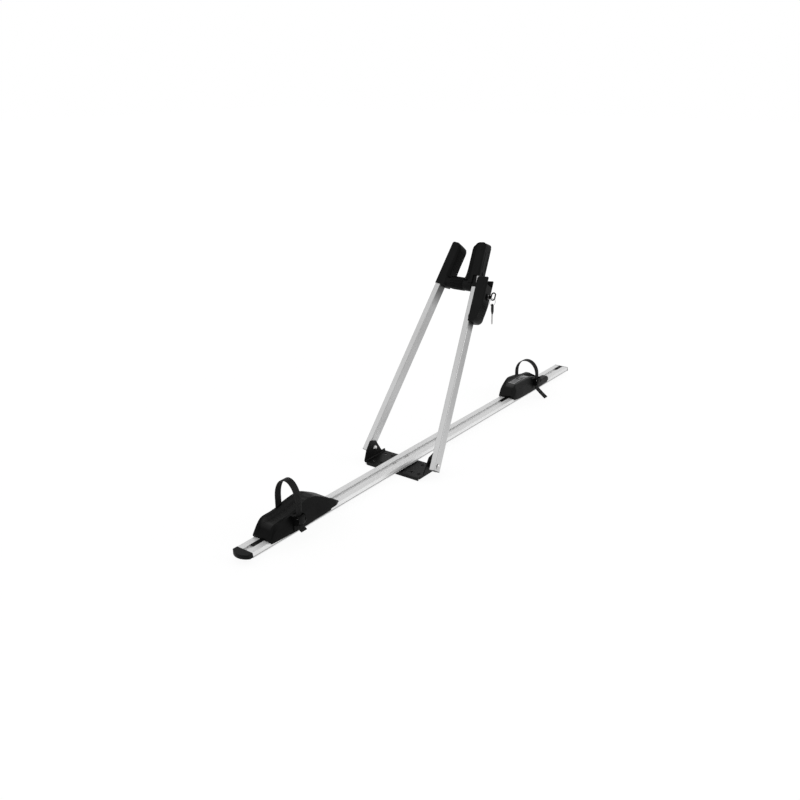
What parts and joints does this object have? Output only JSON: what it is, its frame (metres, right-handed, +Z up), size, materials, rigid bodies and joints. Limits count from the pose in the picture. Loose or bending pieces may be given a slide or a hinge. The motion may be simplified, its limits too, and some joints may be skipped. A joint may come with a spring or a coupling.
{
  "type": "roof mounted bike carrier",
  "caption": "Roof bike carrier: a slotted rail on a cross bracket, folding tube arms with clamping claws and a locking cam lever, and sliding wheel cradles with straps.",
  "frame": {"origin": "centre of the bracket's underside, where it sits on the roof bar", "axes": "+X along the rail towards the rear cradle, +Y across the rail towards the left arm, +Z up"},
  "size_m": [1.363, 0.2168, 0.4958],
  "materials": {
    "aluminium": "satin anodised extrusion",
    "bracket_black": "black powder coat",
    "moulded_black": "fine grained moulded plastic",
    "lever_black": "satin moulded plastic",
    "strap_black": "soft ribbed strap",
    "pad_rubber": "matt rubber",
    "zinc_steel": "bright zinc plate",
    "lock_chrome": "satin chrome",
    "key_nickel": "nickel plate",
    "key_black": "satin moulded plastic"
  },
  "bodies": {
    "base": {"rail": "aluminium", "front_end_cap": "moulded_black", "rear_end_plug": "moulded_black", "base_bracket": "bracket_black", "rail_screws": "zinc_steel", "clinch_nuts": "zinc_steel", "pivot_bolts": "zinc_steel", "pivot_bushes": "moulded_black", "pivot_nuts": "zinc_steel"},
    "left_arm": {"left_tube": "aluminium", "left_tube_plug": "moulded_black", "left_claw": "moulded_black", "left_claw_pad": "pad_rubber", "left_claw_screw": "moulded_black", "tie_rod": "zinc_steel", "tie_rod_nut": "zinc_steel"},
    "right_arm": {"right_tube": "aluminium", "right_tube_plug": "moulded_black", "right_claw": "moulded_black", "right_claw_pad": "pad_rubber", "right_claw_screw": "moulded_black", "cam_wear_plate": "zinc_steel"},
    "knob": {"adjuster_knob": "moulded_black"},
    "lever": {"lever_casing": "lever_black", "lever_cam": "lever_black", "lever_pin_shaft": "bracket_black", "lock_barrel": "lever_black"},
    "lock_core": {"lock_plug": "lock_chrome", "lock_tongue": "zinc_steel", "key_bow": "key_black", "key_blade": "key_nickel"},
    "ring": {"key_ring": "lock_chrome"},
    "spare_key": {"spare_key_bow": "key_black", "spare_key_blade": "key_nickel"},
    "front_holder": {"front_cradle": "moulded_black", "front_slide_foot": "moulded_black", "front_foot_screw": "zinc_steel", "front_strap": "strap_black", "front_strap_rivet": "zinc_steel", "front_buckle_frame": "moulded_black", "front_buckle_pin": "zinc_steel"},
    "front_flap": {"front_buckle_lever": "moulded_black"},
    "rear_holder": {"rear_cradle": "moulded_black", "rear_slide_foot": "moulded_black", "rear_foot_screw": "zinc_steel", "rear_strap": "strap_black", "rear_strap_rivet": "zinc_steel", "rear_buckle_frame": "moulded_black", "rear_buckle_pin": "zinc_steel"},
    "rear_flap": {"rear_buckle_lever": "moulded_black"}
  },
  "joints": [
    {"name": "arm_fold", "type": "hinge", "parent": "base", "child": "left_arm", "pos_m": [0, 0, 0.024], "axis": [0, 1, 0], "range_deg": [-33, 37]},
    {"name": "right_arm_swing", "type": "hinge", "parent": "left_arm", "child": "right_arm", "pos_m": [0, -0.097, 0.024], "axis": [0.8387, 0, -0.5446], "range_deg": [0, 1.4]},
    {"name": "lever_open", "type": "hinge", "parent": "left_arm", "child": "lever", "pos_m": [0.23983, -0.07689, 0.39331], "axis": [-0.8387, 0, 0.5446], "range_deg": [0, 110]},
    {"name": "knob_spin", "type": "hinge", "parent": "left_arm", "child": "knob", "pos_m": [0.23983, 0, 0.39331], "axis": [0, 1, 0], "continuous": true},
    {"name": "key_turn", "type": "hinge", "parent": "lever", "child": "lock_core", "pos_m": [0.2273, -0.0874, 0.37401], "axis": [0.0579, -0.9943, 0.0891], "range_deg": [0, 90]},
    {"name": "key_ring_swing", "type": "hinge", "parent": "lock_core", "child": "ring", "pos_m": [0.22672, -0.10189, 0.37312], "axis": [0.9397, -0.342, 0], "range_deg": [-40, 4]},
    {"name": "spare_key_swing", "type": "hinge", "parent": "ring", "child": "spare_key", "pos_m": [0.22672, -0.10189, 0.35612], "axis": [0.9397, -0.342, 0], "range_deg": [-40, 6]},
    {"name": "front_cradle_slide", "type": "slide", "parent": "base", "child": "front_holder", "axis": [1, 0, 0], "range_m": [-0.02, 0.17]},
    {"name": "front_buckle_release", "type": "hinge", "parent": "front_holder", "child": "front_flap", "pos_m": [-0.392, -0.0412, 0.048], "axis": [-1, 0, 0], "range_deg": [0, 100]},
    {"name": "rear_cradle_slide", "type": "slide", "parent": "base", "child": "rear_holder", "axis": [1, 0, 0], "range_m": [-0.25, 0.06]},
    {"name": "rear_buckle_release", "type": "hinge", "parent": "rear_holder", "child": "rear_flap", "pos_m": [0.603, -0.0412, 0.048], "axis": [-1, 0, 0], "range_deg": [0, 100]}
  ],
  "couplings": [
    {"joint": "right_arm_swing", "follows": "lever_open", "ratio": 0.011838}
  ]
}
